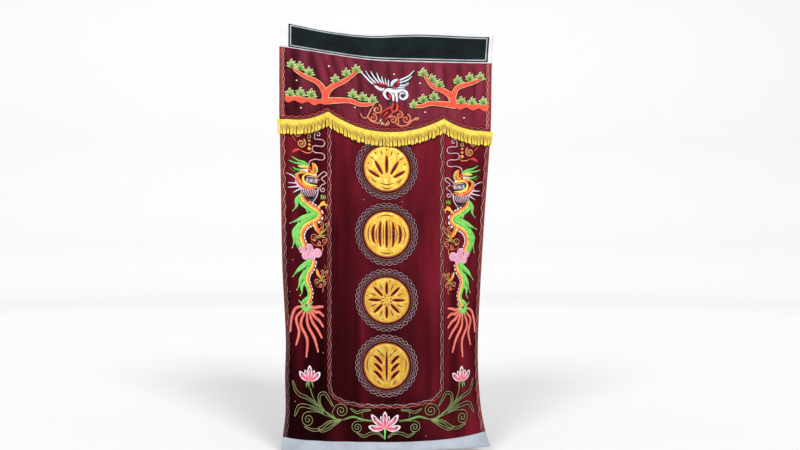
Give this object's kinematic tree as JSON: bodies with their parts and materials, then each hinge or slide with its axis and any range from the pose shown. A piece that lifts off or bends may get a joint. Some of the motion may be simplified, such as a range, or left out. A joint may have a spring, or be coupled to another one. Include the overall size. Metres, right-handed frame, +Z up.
{
  "type": "funeral banner",
  "caption": "Hanging banner of embroidered maroon velvet with a scalloped, fringed valance, gold applique discs, a white header with a black strip and a white foot band.",
  "frame": {"origin": "hanging point: the middle of the header band's top edge, at mid-thickness", "axes": "+Z up along the banner's length, +X to the right as its front is seen, front towards -Y"},
  "size_m": [0.9128, 0.0539, 1.8222],
  "materials": {
    "header_cotton": "matt white cotton",
    "strip_cloth": "matt black cloth",
    "panel_velvet": "maroon velvet",
    "valance_velvet": "maroon velvet",
    "fringe_rayon": "glossy yellow fringe",
    "foot_cotton": "matt grey-white cotton",
    "gold_satin": "gold lurex applique",
    "braid_red": "red and rose braid"
  },
  "bodies": {
    "root": {"header_band": "header_cotton", "black_strip": "strip_cloth", "main_panel": "panel_velvet", "valance": "valance_velvet", "fringe": "fringe_rayon", "foot_band": "foot_cotton", "medallion_1": "gold_satin", "medallion_2": "gold_satin", "medallion_3": "gold_satin", "medallion_4": "gold_satin", "side_braid_left": "braid_red", "side_braid_right": "braid_red", "panel_braid": "braid_red", "valance_braid": "braid_red"}
  },
  "joints": []
}
